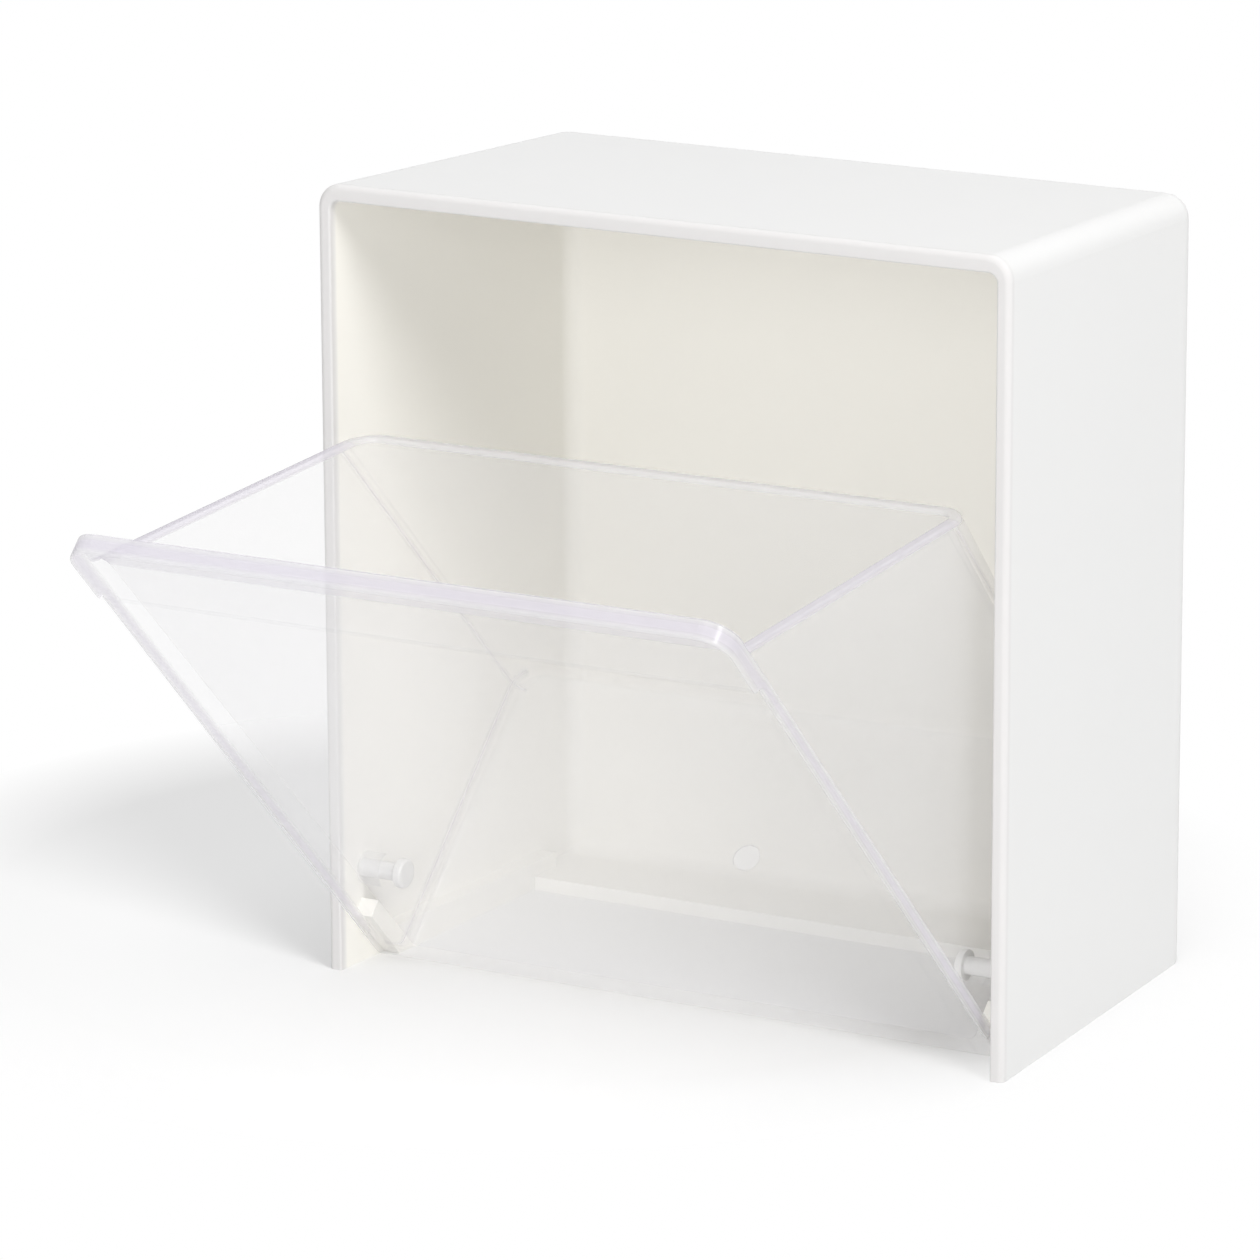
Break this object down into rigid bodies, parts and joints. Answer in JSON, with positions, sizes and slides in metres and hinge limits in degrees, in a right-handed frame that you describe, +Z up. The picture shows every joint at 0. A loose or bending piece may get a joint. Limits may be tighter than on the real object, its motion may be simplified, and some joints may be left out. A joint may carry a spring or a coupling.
{
  "type": "tilt-out cotton pad holder",
  "caption": "White box open at the front, with a clear tilt-out bin for cotton pads shown open on its stops.",
  "frame": {"origin": "middle of the flat underside of the casing's rear foot, on the surface that the holder stands on", "axes": "+Z up, -Y is the front where the bin tilts out, X = 0 is the plane of symmetry"},
  "size_m": [0.125, 0.1579, 0.133],
  "materials": {
    "white_plastic": "fine matte, warm white",
    "clear_plastic": "clear, polished"
  },
  "bodies": {
    "casing_body": {"casing": "white_plastic"},
    "bin_body": {"tilt_bin": "clear_plastic", "hinge_pin_left": "clear_plastic", "hinge_pin_right": "clear_plastic"}
  },
  "joints": [
    {"name": "bin_tilt", "type": "hinge", "parent": "casing_body", "child": "bin_body", "pos_m": [0, -0.055, 0.0162], "axis": [-1, 0, 0], "range_deg": [0, 45]}
  ]
}
